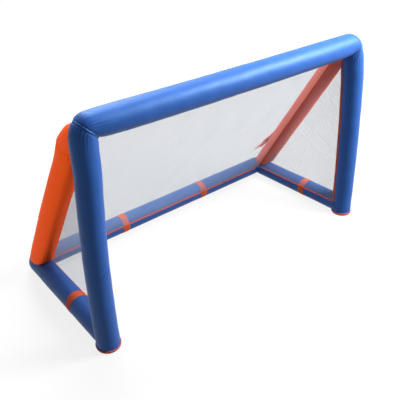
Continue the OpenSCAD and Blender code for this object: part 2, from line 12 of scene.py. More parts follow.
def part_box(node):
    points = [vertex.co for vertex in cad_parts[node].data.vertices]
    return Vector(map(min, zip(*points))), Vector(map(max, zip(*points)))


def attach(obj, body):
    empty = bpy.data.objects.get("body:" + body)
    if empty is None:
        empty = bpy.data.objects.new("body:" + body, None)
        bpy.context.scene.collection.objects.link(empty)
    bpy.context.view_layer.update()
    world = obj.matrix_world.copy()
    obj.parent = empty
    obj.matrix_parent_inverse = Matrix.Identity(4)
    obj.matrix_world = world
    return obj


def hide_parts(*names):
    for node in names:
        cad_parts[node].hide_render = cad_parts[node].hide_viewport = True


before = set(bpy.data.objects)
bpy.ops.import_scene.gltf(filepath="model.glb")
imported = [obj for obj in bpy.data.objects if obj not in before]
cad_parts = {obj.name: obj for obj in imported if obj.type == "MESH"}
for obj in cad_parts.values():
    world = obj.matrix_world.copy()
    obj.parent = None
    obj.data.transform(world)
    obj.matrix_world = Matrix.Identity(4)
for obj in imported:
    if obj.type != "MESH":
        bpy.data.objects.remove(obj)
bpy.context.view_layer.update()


# ---------- camera ----------
# A normal lens at the front left of the goal, a little above head height, that looks down
# at it with a slight roll. Its film is shifted down and a little sideways.
camera_place = Vector((-2.0454, -2.4874, 2.2357))
camera_turn = np.radians(-37.33)
camera_tilt = np.radians(67.81)
camera_roll = np.radians(-2.27)
camera = bpy.data.cameras.new("camera")
camera.sensor_width = 36.0
camera.lens = 49.92
camera.shift_x = 0.055
camera.shift_y = -0.2125
camera_object = bpy.data.objects.new("camera", camera)
camera_object.matrix_world = (
    Matrix.Translation(camera_place)
    @ Matrix.Rotation(camera_turn, 4, "Z")
    @ Matrix.Rotation(camera_tilt, 4, "X")
    @ Matrix.Rotation(camera_roll, 4, "Z")
)
bpy.context.scene.collection.objects.link(camera_object)
bpy.context.scene.camera = camera_object


# ---------- floor and light ----------
# A wide pale studio floor under a white world. One large lamp stands near the goal at the
# front right, weaker ones above, behind and at the left, and the world fills the rest.
bpy.context.scene.view_settings.view_transform = "Standard"


def add_node(tree, kind, **values):
    """A new shader node, with its named properties and sockets set."""
    made = tree.nodes.new("ShaderNode" + kind)
    for name, value in values.items():
        if hasattr(made, name):
            setattr(made, name, value)
        else:
            made.inputs[name.replace("_", " ")].default_value = value
    return made


def calc(tree, operation, first, second=0.0):
    """The result of a math node on two sockets or numbers."""
    made = add_node(tree, "Math", operation=operation)
    for socket, value in zip(made.inputs, (first, second)):
        if isinstance(value, bpy.types.NodeSocket):
            tree.links.new(value, socket)
        else:
            socket.default_value = value
    return made.outputs[0]


def seen_directly(tree):
    """1 where a camera, mirror or glass ray meets the surface, and 0 where light does."""
    path = add_node(tree, "LightPath").outputs
    seen = calc(tree, "MAXIMUM", path["Is Camera Ray"], path["Is Glossy Ray"])
    return calc(tree, "MAXIMUM", seen, path["Is Transmission Ray"])


world = bpy.data.worlds.new("studio")
world.use_nodes = True
bpy.context.scene.world = world
tree = world.node_tree
tree.nodes.clear()
fill = add_node(tree, "Background", Color=(0.94, 0.97, 1.0, 1.0), Strength=0.055)
white = add_node(tree, "Background", Color=(1.0, 1.0, 1.0, 1.0), Strength=1.0)
choice = add_node(tree, "MixShader")
tree.links.new(seen_directly(tree), choice.inputs[0])
tree.links.new(fill.outputs[0], choice.inputs[1])
tree.links.new(white.outputs[0], choice.inputs[2])
tree.links.new(choice.outputs[0], add_node(tree, "OutputWorld").inputs["Surface"])


def soft_lamp(name, place, size, power):
    """A square area lamp at place that faces the middle of the goal and isn't seen itself."""
    lamp = bpy.data.lights.new(name, "AREA")
    lamp.size, lamp.energy = size, power
    holder = bpy.data.objects.new(name, lamp)
    holder.visible_camera = False
    aim = Vector((0.0, 0.0, 0.5)) - Vector(place)
    holder.matrix_world = Matrix.Translation(place) @ aim.to_track_quat("-Z", "Y").to_matrix().to_4x4()
    bpy.context.scene.collection.objects.link(holder)


soft_lamp("key_lamp", (2.1, -1.9, 2.8), 1.3, 215.0)
soft_lamp("top_lamp", (0.2, 1.0, 4.2), 2.0, 130.0)
soft_lamp("back_lamp", (1.0, 4.5, 4.5), 2.4, 140.0)
soft_lamp("left_lamp", (-6.0, 1.0, 3.5), 2.4, 13.0)

floor_mesh = bpy.data.meshes.new("floor")
floor_half = 40.0
floor_mesh.from_pydata(
    [(-floor_half, -floor_half, 0.0), (floor_half, -floor_half, 0.0),
     (floor_half, floor_half, 0.0), (-floor_half, floor_half, 0.0)],
    [], [(0, 1, 2, 3)])
floor = bpy.data.objects.new("floor", floor_mesh)
bpy.context.scene.collection.objects.link(floor)
paper = bpy.data.materials.new("floor_paper")
paper.use_nodes = True
tree = paper.node_tree
tree.nodes.clear()
matt = add_node(tree, "BsdfDiffuse", Color=(0.14, 0.14, 0.143, 1.0))
glow = add_node(tree, "Emission", Color=(1.0, 1.0, 1.0, 1.0))
both = add_node(tree, "AddShader")
away = add_node(tree, "VectorMath", operation="LENGTH")
tree.links.new(add_node(tree, "TexCoord").outputs["Object"], away.inputs[0])
level = add_node(tree, "MapRange", From_Min=1.2, From_Max=4.0, To_Min=0.84, To_Max=1.0)
tree.links.new(away.outputs["Value"], level.inputs["Value"])
tree.links.new(calc(tree, "MULTIPLY", seen_directly(tree), level.outputs["Result"]), glow.inputs["Strength"])
tree.links.new(matt.outputs[0], both.inputs[0])
tree.links.new(glow.outputs[0], both.inputs[1])
tree.links.new(both.outputs[0], add_node(tree, "OutputMaterial").inputs["Surface"])
floor_mesh.materials.append(paper)


# ---------- satin cloth ----------
# Coated polyester of a tight plain weave. The yarns are 1.1 mm apart, and the cloth is
# slightly creased all over from being stored folded.
def new_material(name):
    """A material with its node tree and its Principled shader."""
    material = bpy.data.materials.new(name)
    material.use_nodes = True
    return material, material.node_tree, material.node_tree.nodes["Principled BSDF"]


def map_metres(tree):
    """The two coordinates of the cloth's own map, in metres."""
    parts = add_node(tree, "SeparateXYZ")
    tree.links.new(add_node(tree, "UVMap", uv_map="cloth").outputs["UV"], parts.inputs[0])
    return parts.outputs["X"], parts.outputs["Y"]


def bumped(tree, height, distance, below=None, strength=1.0):
    """A bump of a height from 0 to 1 that rises by distance, on top of the bump below."""
    bump = add_node(tree, "Bump", Strength=strength, Distance=distance)
    tree.links.new(height, bump.inputs["Height"])
    if below:
        tree.links.new(below, bump.inputs["Normal"])
    return bump.outputs["Normal"]


def patchy(tree, shader, light, dark, roughness, scale=14.0):
    """Colour and roughness that wander between two values in soft patches."""
    place = add_node(tree, "TexCoord").outputs["Object"]
    patches = add_node(tree, "TexNoise", Scale=scale, Detail=4.0)
    tree.links.new(place, patches.inputs["Vector"])
    blend = add_node(tree, "Mix", data_type="RGBA")
    tree.links.new(patches.outputs["Fac"], blend.inputs[0])
    blend.inputs[6].default_value = (*dark, 1.0)
    blend.inputs[7].default_value = (*light, 1.0)
    tree.links.new(blend.outputs[2], shader.inputs["Base Color"])
    gloss = add_node(tree, "MapRange", To_Min=roughness - 0.06, To_Max=roughness + 0.08)
    tree.links.new(patches.outputs["Fac"], gloss.inputs["Value"])
    tree.links.new(gloss.outputs["Result"], shader.inputs["Roughness"])
    return place


def satin(name, light, dark, roughness, creases):
    """Woven cloth: yarns as a product of two sines of the map's metres, over shallow creases
    of stretched noise."""
    material, tree, shader = new_material(name)
    place = patchy(tree, shader, light, dark, roughness)
    folds = add_node(tree, "TexNoise", Scale=21.0, Detail=5.0, Roughness=0.55, Distortion=0.6)
    tree.links.new(place, folds.inputs["Vector"])
    low = bumped(tree, folds.outputs["Fac"], creases)
    pitch = 0.0011
    waves = [calc(tree, "SINE", calc(tree, "MULTIPLY", way, 2 * np.pi / pitch))
             for way in map_metres(tree)]
    weave = bumped(tree, calc(tree, "MULTIPLY", *waves), 0.00005, low, 0.5)
    tree.links.new(weave, shader.inputs["Normal"])
    return material, shader


blue_cloth, shader = satin("blue_polyester", (0.030, 0.125, 0.47), (0.020, 0.090, 0.38), 0.50, 0.0012)
shader.inputs["Specular IOR Level"].default_value = 0.65
shader.inputs["Specular Tint"].default_value = (0.34, 0.64, 1.0, 1.0)

# The gloss of the orange cloth has the colour of its yarns, which a share of metal gives.
orange_cloth, shader = satin("orange_polyester", (0.98, 0.120, 0.008), (0.95, 0.095, 0.006), 0.50, 0.0012)
shader.inputs["Specular Tint"].default_value = (1.0, 0.45, 0.12, 1.0)
shader.inputs["Metallic"].default_value = 0.65


# ---------- posts and crossbar ----------
# Three sleeves, mitred and sewn at the top corners. Air pushes the posts a little outwards,
# and the crossbar is a little fuller and sags between them.
post_low, post_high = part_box("right_post_sleeve")
tube_r = (post_high.y - post_low.y) / 2
half_w = post_high.x - tube_r
post_y = (post_low.y + post_high.y) / 2
bar_z = post_high.z - tube_r
foot_top = post_low.z
arch_shift = 0.012
lean_from, lean_height = 1.0, 0.22
left_corner, right_corner = (0.090, 0.100), (0.120, 0.190)
post_bow = 0.020
bar_sag = 0.006
bar_fuller = 0.0095
seam_tuck = 0.002


def ripple(angle, count, seed):
    """Three cosines of about count waves round a tube, with seeded phases: from -1 to 1."""
    phases = np.random.default_rng(seed).uniform(0, 2 * np.pi, 3)
    waves = [np.cos((count + step) * angle + phase) for step, phase in zip((-2, 0, 3), phases)]
    return sum(waves) / 3


def puckers(distance, angle, count, depth, reach, seed):
    """A sewn end: the cloth turns out in a thin ridge at the seam and is drawn in beside it,
    and folds fan out as a ridged ripple times (d / reach) * exp(1 - d / reach)."""
    share = np.maximum(distance, 0.0) / reach
    fan = depth * (0.6 - 2 * np.abs(ripple(angle, count, seed))) * share * np.exp(1 - share)
    ridge = 0.0018 * np.exp(-(distance / 0.004) ** 2) - 0.0020 * np.exp(-((distance - 0.010) / 0.006) ** 2)
    return fan + ridge


def unevenness(along, angle, height, seed):
    """Slow swells of a blown-up sleeve: four waves along it, each with a few lobes round it."""
    random = np.random.default_rng(seed)
    total = 0.0
    for wave in (0.62, 0.37, 0.21, 0.13):
        lobes, phase, turn = random.integers(1, 4), *random.uniform(0, 2 * np.pi, 2)
        total = total + np.sin(2 * np.pi * along / wave + phase) * np.cos(lobes * angle + turn)
    return height * total / 2


def valley(a, b, slope, length, width, depth):
    """A short crease with raised lips, on flat coordinates from its middle:
    -depth * (1 - 2 q^2) * exp(-q^2 - p^2), with p in lengths along it and q in widths across."""
    turn = np.radians(slope)
    p = (a * np.cos(turn) + b * np.sin(turn)) / length
    q = (b * np.cos(turn) - a * np.sin(turn)) / width
    return -depth * (1 - 2 * q * q) * np.exp(-q * q - p * p)


def angle_from(angle, turn):
    """The difference of two angles, from -pi to pi; turn is in degrees."""
    return np.mod(angle - np.radians(turn) + np.pi, 2 * np.pi) - np.pi


def inflated(start, end, out, radius, keeps, swell, bow=(0.0, 0.0, 0.0), corner=None):
    """The skin of an air-filled tube, as a function of the distance along it and the angle
    round it from out: start + s * axis + (radius + swell) * spoke + bow * 4 u (1 - u).
    keeps are two functions that are positive inside the room where the tube may be: each line
    of the tube ends where one of them turns negative."""
    start, end, out, bow = (np.array(v, float) for v in (start, end, out, bow))
    length = np.linalg.norm(end - start)
    axis = (end - start) / length
    side = np.cross(axis, out)

    def spoke(angle):
        return np.cos(angle)[..., None] * out + np.sin(angle)[..., None] * side

    def reach(angle, way):
        line = start + axis * length / 2 + radius * spoke(angle)
        near = np.zeros(angle.shape)
        far = np.full(angle.shape, length / 2 + 2 * radius)
        for _ in range(26):
            middle = (near + far) / 2
            kept = keeps[way > 0](line + way * middle[..., None] * axis) > 0
            near = np.where(kept, middle, near)
            far = np.where(kept, far, middle)
        return length / 2 + way * near

    def skin(along, angle, lift=0.0, share=None):
        """A point of the skin raised by lift. share, from 0 to 1, takes the place of along."""
        first, last = reach(angle, -1), reach(angle, 1)
        if share is not None:
            along = first + share * (last - first)
        share = np.clip((along - first) / (last - first), 0.0, 1.0)
        r = radius + lift + swell(along, angle, along - first, last - along)
        point = start + along[..., None] * axis + r[..., None] * spoke(angle)
        point = point + (4 * share * (1 - share))[..., None] * bow
        return corner(point) if corner else point

    skin.axis, skin.length, skin.radius = axis, length, radius
    return skin


def grid(points, uv, wrap=False, ends="open"):
    """Quads between rows of points. With wrap, the last column joins the first. ends says if
    the first and the last row are open, capped by a fan to a middle point or joined to each
    other. The faces of a closed form point out."""
    rows, columns = points.shape[:2]
    i, j = np.meshgrid(np.arange(rows if ends == "joined" else rows - 1),
                       np.arange(columns if wrap else columns - 1), indexing="ij")
    i, j = i.ravel(), j.ravel()
    after, below = (j + 1) % columns, (i + 1) % rows
    quads = np.stack([i * columns + j, i * columns + after,
                      below * columns + after, below * columns + j], axis=1)
    quad_uv = np.stack([uv[i, j], uv[i, j + 1], uv[i + 1, j + 1], uv[i + 1, j]], axis=1)
    vertices = points.reshape(-1, 3)
    faces = [(quads, quad_uv)]
    if ends == "capped":
        ring = np.arange(columns)
        following = (ring + 1) % columns
        for row, one, other in ((0, following, ring), (rows - 1, ring, following)):
            middle = np.full(columns, len(vertices))
            vertices = np.vstack([vertices, points[row].mean(axis=0)])
            faces.append((np.stack([row * columns + one, row * columns + other, middle], axis=1),
                          np.repeat(uv[row, :columns, None], 3, axis=1)))
    local = vertices - vertices[0]
    volume = sum(np.einsum("ij,ij->", local[f[:, 0]], np.cross(local[f[:, k]], local[f[:, k + 1]]))
                 for f, _ in faces for k in range(1, f.shape[1] - 1))
    if ends != "open" and volume < 0:
        faces = [(f[:, ::-1], w[:, ::-1]) for f, w in faces]
    return vertices, faces


def mesh_piece(name, parts, material):
    """One object of several grids, with smooth faces and a map in metres named cloth."""
    loops, totals, maps, count = [], [], [], 0
    for vertices, faces in parts:
        for corners, corner_map in faces:
            loops.append((corners + count).ravel())
            totals.append(np.full(len(corners), corners.shape[1]))
            maps.append(corner_map.reshape(-1, 2))
        count += len(vertices)
    loops, totals, maps = (np.concatenate(v) for v in (loops, totals, maps))
    vertices = np.vstack([part[0] for part in parts])
    mesh = bpy.data.meshes.new(name)
    mesh.vertices.add(len(vertices))
    mesh.vertices.foreach_set("co", vertices.astype(np.float32).ravel())
    mesh.loops.add(len(loops))
    mesh.loops.foreach_set("vertex_index", loops.astype(np.int32))
    mesh.polygons.add(len(totals))
    mesh.polygons.foreach_set("loop_start", (np.cumsum(totals) - totals).astype(np.int32))
    mesh.polygons.foreach_set("use_smooth", np.ones(len(totals), bool))
    mesh.update(calc_edges=True)
    mesh.uv_layers.new(name="cloth").data.foreach_set("uv", maps.astype(np.float32).ravel())
    mesh.validate()
    mesh.materials.append(material)
    piece = bpy.data.objects.new(name, mesh)
    bpy.context.scene.collection.objects.link(piece)
    return piece


def place_piece(piece, slot, *nodes, body="frame"):
    """The piece takes the place of nodes and rides on body. slot is not used."""
    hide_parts(*nodes)
    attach(piece, body)
    return piece


def tube(skin, rows=260, columns=112, lift=0.0, gap=0.0):
    """A closed tube on a skin, with rows closer together towards its ends. gap is the share
    of its length that stays free at each end."""
    even = np.linspace(0.0, 1.0, rows)
    share = gap + (1 - 2 * gap) * (0.5 * even + 0.25 * (1 - np.cos(np.pi * even)))
    angle = np.arange(columns) * 2 * np.pi / columns
    s, a = np.meshgrid(share, angle, indexing="ij")
    around = np.arange(columns + 1) * 2 * np.pi * skin.radius / columns
    uv = np.stack(np.meshgrid(share * skin.length, around, indexing="ij"), axis=-1)
    return grid(skin(s * 0, a, lift, share=s), uv, True, "capped")


def draw_in(point, axis, edge_x, edge, radii):
    """Draws the outer corner at |x| = edge_x and edge on the other axis in to a quarter of an
    ellipse: an offset from its middle, in radii, is scaled by its larger part / its length.
    The top of the goal also leans to the left by arch_shift."""
    away = (np.stack([np.abs(point[..., 0]), point[..., axis]], axis=-1) - (edge_x, edge)) / radii + 1
    away = np.where((away > 0).all(axis=-1)[..., None], away, 0.0)
    far = np.linalg.norm(away, axis=-1)
    share = np.where(far > 1e-8, away.max(axis=-1) / np.maximum(far, 1e-8), 1.0)
    moved = away * (share - 1)[..., None] * radii
    high = np.clip((point[..., 2] - lean_from) / lean_height, 0, 1)
    result = point.copy()
    result[..., 0] += np.sign(point[..., 0]) * moved[..., 0] - arch_shift * high ** 2 * (3 - 2 * high)
    result[..., axis] += moved[..., 1]
    return result


def round_top(point):
    radii = np.where(point[..., :1] < 0, left_corner, right_corner)
    return draw_in(point, 2, half_w + tube_r, bar_z + tube_r, radii)


def below_top_mitre(point):
    return (np.abs(point[..., 0]) - half_w) - (point[..., 2] - bar_z)


def above_top_mitre(point):
    return -below_top_mitre(point)


def above_foot(point):
    return point[..., 2] - foot_top


def bar_swell(along, angle, to_left, to_right):
    """Puckers at both mitres and swells between them. The bar is fuller than the posts, except
    on its rearmost line, which the straight zip holds: there it only grows with its sag."""
    share = to_left / (to_left + to_right)
    sag = bar_sag * 4 * share * (1 - share)
    grown = np.sqrt(tube_r ** 2 + sag ** 2) - tube_r
    zip_side = np.exp(-(angle_from(angle, 3) * tube_r / 0.03) ** 2)
    near = np.minimum(to_left, to_right)
    return (grown + puckers(to_left, angle, 13, 0.0016, 0.030, 3)
            + puckers(to_right, angle, 12, 0.0015, 0.028, 4)
            + (unevenness(along, angle, 0.0007, 5) * np.tanh(near / 0.05)
               + bar_fuller * np.tanh(near / 0.09)) * (1 - zip_side))


bar_skin = inflated((-half_w, post_y, bar_z), (half_w, post_y, bar_z), (0, 1, 0), tube_r,
                    (above_top_mitre, above_top_mitre), bar_swell, (0, 0, -bar_sag), round_top)
crossbar_cloth = mesh_piece("crossbar_cloth", [tube(bar_skin, 340)], blue_cloth)
place_piece(crossbar_cloth, "blue_polyester", "crossbar_sleeve")


def post_swell(side):
    """Puckers at the mitre and the foot, swells, and the creases of the left post."""
    def swell(along, angle, to_foot, to_top):
        total = puckers(to_top, angle, 13, 0.0016, 0.030, 7 + side)
        total = total + puckers(to_foot, angle, 16, 0.0010, 0.016, 11 + side)
        total = total + unevenness(along, angle, 0.0007, 15 + side) * np.tanh(
            np.minimum(to_foot, to_top) / 0.05)
        if side < 0:
            for at, turn, slope, length, width, depth in (
                    (0.50, -82, 60, 0.030, 0.007, 0.0032), (0.48, -68, 35, 0.026, 0.006, 0.0028),
                    (0.52, -75, -50, 0.020, 0.006, 0.0022), (0.045, -95, 70, 0.030, 0.006, 0.0028)):
                total = total + valley(along - at, tube_r * angle_from(angle, turn),
                                       slope, length, width, depth)
        return total
    return swell


post_skins = {}
for side, word in ((-1, "left"), (1, "right")):
    x = side * half_w
    post_skins[side] = inflated(
        (x, post_y, foot_top), (x, post_y, bar_z), (-side, 0, 0), tube_r,
        (above_foot, below_top_mitre), post_swell(side), (side * post_bow, 0, 0), round_top)
    post_cloth = mesh_piece(word + "_post_cloth", [tube(post_skins[side])], blue_cloth)
    place_piece(post_cloth, "blue_polyester", word + "_post_sleeve")


# ---------- ground tubes ----------
# Three sleeves in a U on the ground, mitred at the rear corners. The side tubes are sewn
# to the backs of the posts.
ground_low, ground_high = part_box("back_base_sleeve")
ground_r = (ground_high.z - ground_low.z) / 2
ground_z = (ground_high.z + ground_low.z) / 2
rear_y = ground_high.y - ground_r
rear_corner_r = 0.080


def beside_ground_mitre(point):
    """Positive on the side tubes' side of the mitre with the rear tube."""
    return (np.abs(point[..., 0]) - half_w) - (point[..., 1] - rear_y)


def behind_ground_mitre(point):
    return -beside_ground_mitre(point)


def clear_of_post(point):
    post = np.hypot(np.abs(point[..., 0]) - half_w, point[..., 1] - post_y)
    return np.minimum(post - tube_r + seam_tuck, point[..., 1] - post_y)


def ground_swell(seed, smooth_angle=None):
    """Puckers at both ends of a ground tube and swells between them, but none at
    smooth_angle, where a zip runs."""
    def swell(along, angle, to_start, to_end):
        calm = np.tanh(np.minimum(to_start, to_end) / 0.05)
        if smooth_angle is not None:
            calm = calm * (1 - np.exp(-(angle_from(angle, smooth_angle) * ground_r / 0.025) ** 2))
        return (puckers(to_start, angle, 13, 0.0014, 0.026, seed)
                + puckers(to_end, angle, 12, 0.0015, 0.028, seed + 1)
                + unevenness(along, angle, 0.0005, seed + 2) * calm)
    return swell


def round_rear(point):
    return draw_in(point, 1, half_w + ground_r, rear_y + ground_r, np.full(2, rear_corner_r))


ground_zip_angle = 210
rear_skin = inflated((-half_w, rear_y, ground_z), (half_w, rear_y, ground_z), (0, -1, 0), ground_r,
                     (behind_ground_mitre, behind_ground_mitre), ground_swell(31, ground_zip_angle),
                     corner=round_rear)
rear_cloth = mesh_piece("rear_ground_cloth", [tube(rear_skin, 320)], blue_cloth)
place_piece(rear_cloth, "blue_polyester", "back_base_sleeve")
ground_skins = {}
for side, word in ((-1, "left"), (1, "right")):
    x = side * half_w
    ground_skins[side] = inflated(
        (x, post_y, ground_z), (x, rear_y, ground_z), (-side, 0, 0), ground_r,
        (clear_of_post, beside_ground_mitre), ground_swell(35 + 3 * side), corner=round_rear)
    side_cloth = mesh_piece(word + "_ground_cloth", [tube(ground_skins[side], 180)], blue_cloth)
    place_piece(side_cloth, "blue_polyester", word + "_base_sleeve")


# ---------- braces ----------
# An orange tube slopes from each rear ground corner to an elbow, and a short one goes on
# from there to the top corner. The right one is pressed in round the valve's barrel.
brace_low, brace_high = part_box("left_brace_sleeve")
brace_r = (brace_high.x - brace_low.x) / 2
brace_end_z = brace_low.z
elbow = np.array([0.0, post_y + 0.132, bar_z - 0.126])
brace_foot = np.array([0.0, rear_y - 0.034, ground_z])
top_corner = np.array([0.0, post_y, bar_z])
foot_rise, foot_taper, foot_narrow = 0.022, 0.055, 0.013
valve_down, well_r, well_depth = 1.016, 0.020, 0.028


def unit(vector):
    return vector / np.linalg.norm(vector)


lower_way = unit(elbow - brace_foot)
upper_way = unit(top_corner - elbow)
elbow_normal = unit(lower_way + upper_way)
brace_length = np.linalg.norm(elbow - brace_foot)


def below_elbow(point):
    return -(point[..., 1:] - elbow[1:]) @ elbow_normal[1:]


def above_elbow(point):
    return -below_elbow(point)


def clear_of_ground(point):
    """Distance from the two ground tubes and from the level where the brace ends."""
    side_tube = np.hypot(np.abs(point[..., 0]) - half_w, point[..., 2] - ground_z) - ground_r
    rear_tube = np.hypot(point[..., 1] - rear_y, point[..., 2] - ground_z) - ground_r
    tubes = np.minimum(side_tube, rear_tube) + seam_tuck
    return np.minimum(tubes, point[..., 2] - brace_end_z - foot_rise)


def clear_of_arch(point):
    """Distance from the post below the mitre and from the crossbar above it, up to the
    level of their axes."""
    post = np.hypot(np.abs(point[..., 0]) - half_w, point[..., 1] - post_y) - tube_r
    bar = np.hypot(point[..., 1] - post_y, point[..., 2] - bar_z) - tube_r
    level = (top_corner[1:] - point[..., 1:]) @ upper_way[1:]
    return np.minimum(np.where(below_top_mitre(point) > 0, post, bar) + seam_tuck, level)


def brace_swell(seed, folds, barrel=False, fuller=0.0):
    """Puckers at both ends, swells and creases, and with barrel the well of the valve. A tube
    with folds is drawn in at its foot, and fuller is added to its radius."""
    def swell(along, angle, to_start, to_end):
        total = fuller * (1.0 if folds else np.tanh(to_end / 0.05))
        total = total + puckers(to_start, angle, 12, 0.0018, 0.030, seed)
        total = total + puckers(to_end, angle, 11, 0.0016, 0.022, seed + 1)
        if folds:
            total = total - (foot_narrow + fuller) * np.clip(1 - to_start / foot_taper, 0, 1) ** 2
        total = total + unevenness(along, angle, 0.0008, seed + 2) * np.tanh(
            np.minimum(to_start, to_end) / 0.05)
        for at, turn, slope, length, width, depth in folds:
            total = total + valley(along - at, brace_r * angle_from(angle, turn),
                                   slope, length, width, depth)
        if barrel:
            away = np.hypot(along - (brace_length - valve_down), brace_r * angle_from(angle, 0))
            calm = np.clip((away - well_r - 0.004) / 0.02, 0.0, 1.0)
            total = total * calm - well_depth * np.clip((well_r - away) / 0.005, 0.0, 1.0)
        return total
    return swell


brace_skins, elbow_skins = {}, {}
brace_folds = ((brace_length - 0.03, -150, 80, 0.04, 0.007, 0.003),
               (brace_length - 0.06, 120, 60, 0.035, 0.007, 0.003),
               (0.55, 60, 30, 0.06, 0.010, 0.002), (0.95, 100, -40, 0.05, 0.009, 0.002))
for side, word, fuller in ((-1, "left", 0.009), (1, "right", 0.0)):
    x = np.array([side * half_w, 0.0, 0.0])
    for name, skins, start, end, keeps, swell, bow, corner, rows in (
            ("brace", brace_skins, brace_foot, elbow, (clear_of_ground, below_elbow),
             brace_swell(51 + 4 * side, brace_folds, side > 0, fuller), -fuller, round_rear, 280),
            ("elbow", elbow_skins, elbow, top_corner, (above_elbow, clear_of_arch),
             brace_swell(61 + 4 * side, (), fuller=fuller), 0.0, round_top, 60)):
        back = np.cross((-1.0, 0.0, 0.0), unit(end - start))
        skins[side] = inflated(x + start, x + end, back, brace_r, keeps, swell, (bow, 0, 0), corner)
        piece = mesh_piece(word + "_" + name + "_cloth", [tube(skins[side], rows)], orange_cloth)
        place_piece(piece, "orange_polyester", word + "_" + name + "_sleeve")


# ---------- bladders ----------
# Tubes of thin milky film inside the sleeves, 3 mm in from the cloth. They hold the air.
film, tree, shader = new_material("bladder_film")
place = patchy(tree, shader, (0.66, 0.69, 0.67), (0.58, 0.61, 0.60), 0.28, 9.0)
wrinkles = add_node(tree, "TexNoise", Scale=40.0, Detail=3.0)
tree.links.new(place, wrinkles.inputs["Vector"])
tree.links.new(bumped(tree, wrinkles.outputs["Fac"], 0.0008), shader.inputs["Normal"])
for name, node, skins in (
        ("arch_film", "arch_bladder", (bar_skin, post_skins[-1], post_skins[1])),
        ("ground_film", "base_bladder", (rear_skin, ground_skins[-1], ground_skins[1])),
        ("left_brace_film", "left_brace_bladder", (brace_skins[-1], elbow_skins[-1])),
        ("right_brace_film", "right_brace_bladder", (brace_skins[1], elbow_skins[1]))):
    piece = mesh_piece(name, [tube(skin, 200, 96, -0.003, 0.004) for skin in skins], film)
    place_piece(piece, "bladder_film", node)


# ---------- foot caps ----------
# A round cap of heavier orange cloth under each post, gathered in small pleats round its
# rim, with a covered cord sewn into the seam above it.
cap_cloth, shader = satin("orange_foot_cloth", (0.90, 0.115, 0.012), (0.72, 0.075, 0.008), 0.5, 0.0008)
cap_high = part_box("right_foot_cap")[1]
cap_r = cap_high.x - half_w
cap_h = cap_high.z
cap_bulge, rim_in = 0.006, 0.002
welt_low, welt_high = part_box("right_foot_welt")
welt_r = (welt_high.z - welt_low.z) / 2
welt_z = (welt_high.z + welt_low.z) / 2
welt_ring = welt_high.x - half_w - welt_r
around = np.arange(161) * 2 * np.pi / 160


def turned(profile, middle, pleat, count, seed):
    """A closed form of revolution, with pleats that are deepest at its widest part."""
    angle = around[:-1]
    r, z = np.array(profile, float).T
    depth = pleat * np.clip((r - 0.9 * r.max()) / (0.1 * r.max()), 0, 1)
    r = r[:, None] + depth[:, None] * ripple(angle, count, seed)
    points = np.stack([middle[0] + r * np.cos(angle), middle[1] + r * np.sin(angle),
                       np.broadcast_to(z[:, None], r.shape)], axis=-1)
    uv = np.stack(np.meshgrid(0.002 * np.arange(len(z)), around * cap_r, indexing="ij"), axis=-1)
    return grid(points, uv, True, "capped")


for side, word in ((-1, "left"), (1, "right")):
    middle = (side * half_w, post_y)
    bend = np.radians(np.linspace(-90, 90, 19))
    rim_r = (cap_h + cap_bulge) / 2
    rim = [(cap_r - rim_in - rim_r + rim_r * np.cos(t), rim_r * (1 + np.sin(t))) for t in bend]
    profile = [(0.02, 0.0), (0.045, 0.0)] + rim + [(0.055, cap_h)]
    cap = mesh_piece(word + "_foot_cloth", [turned(profile, middle, 0.0011, 34, 71 + side)], cap_cloth)
    place_piece(cap, "orange_foot_cloth", word + "_foot_cap")
    t, a = np.meshgrid(around[:-1], np.arange(16) * 2 * np.pi / 16, indexing="ij")
    r = welt_ring + (welt_r + 0.0002 * np.cos(60 * t)) * np.cos(a)
    points = np.stack([middle[0] + r * np.cos(t), middle[1] + r * np.sin(t), welt_z + welt_r * np.sin(a)], -1)
    welt_map = np.stack(np.meshgrid(around * welt_ring, np.arange(17) * welt_r * 0.4, indexing="ij"), -1)
    welt = mesh_piece(word + "_foot_piping", [grid(points, welt_map, True, "joined")], cap_cloth)
    place_piece(welt, "orange_foot_cloth", word + "_foot_welt")


# ---------- edge tapes ----------
# Woven orange tape, folded over the net's edges, with a line of stitches near both of its
# own. It is 12 mm wide and lies flat on the tubes, but is wider and stands out at the posts.
def woven(name, light, dark, width, rib, count=1.0, thread=(0.95, 0.55, 0.3), roughness=0.62):
    """Tape with ribs across it, count warp cords per rib along it, and two rows of stitches.
    The stitches are dashes of 3 mm, 1.6 mm in from the edges of a tape of that width, as
    masks on the map."""
    material, tree, shader = new_material(name)
    patchy(tree, shader, light, dark, roughness, 30.0)
    along, across = map_metres(tree)
    ribs = calc(tree, "SINE", calc(tree, "MULTIPLY", along, 2 * np.pi / rib))
    cords = calc(tree, "SINE", calc(tree, "MULTIPLY", across, 2 * np.pi * count / rib))
    base = bumped(tree, calc(tree, "MULTIPLY", ribs, cords), rib * 0.16, None, 0.7)
    line = calc(tree, "SUBTRACT", calc(tree, "ABSOLUTE", across), width / 2 - 0.0016)
    near = calc(tree, "LESS_THAN", calc(tree, "ABSOLUTE", line), 0.0004)
    pulse = calc(tree, "SINE", calc(tree, "MULTIPLY", along, 2 * np.pi / 0.004))
    dash = calc(tree, "GREATER_THAN", pulse, -0.7)
    stitch = calc(tree, "MULTIPLY", near, dash)
    tint = add_node(tree, "Mix", data_type="RGBA")
    tint.inputs[7].default_value = (*thread, 1.0)
    tree.links.new(shader.inputs["Base Color"].links[0].from_socket, tint.inputs[6])
    tree.links.new(stitch, tint.inputs[0])
    tree.links.new(tint.outputs[2], shader.inputs["Base Color"])
    tree.links.new(bumped(tree, stitch, 0.0004, base), shader.inputs["Normal"])
    return material


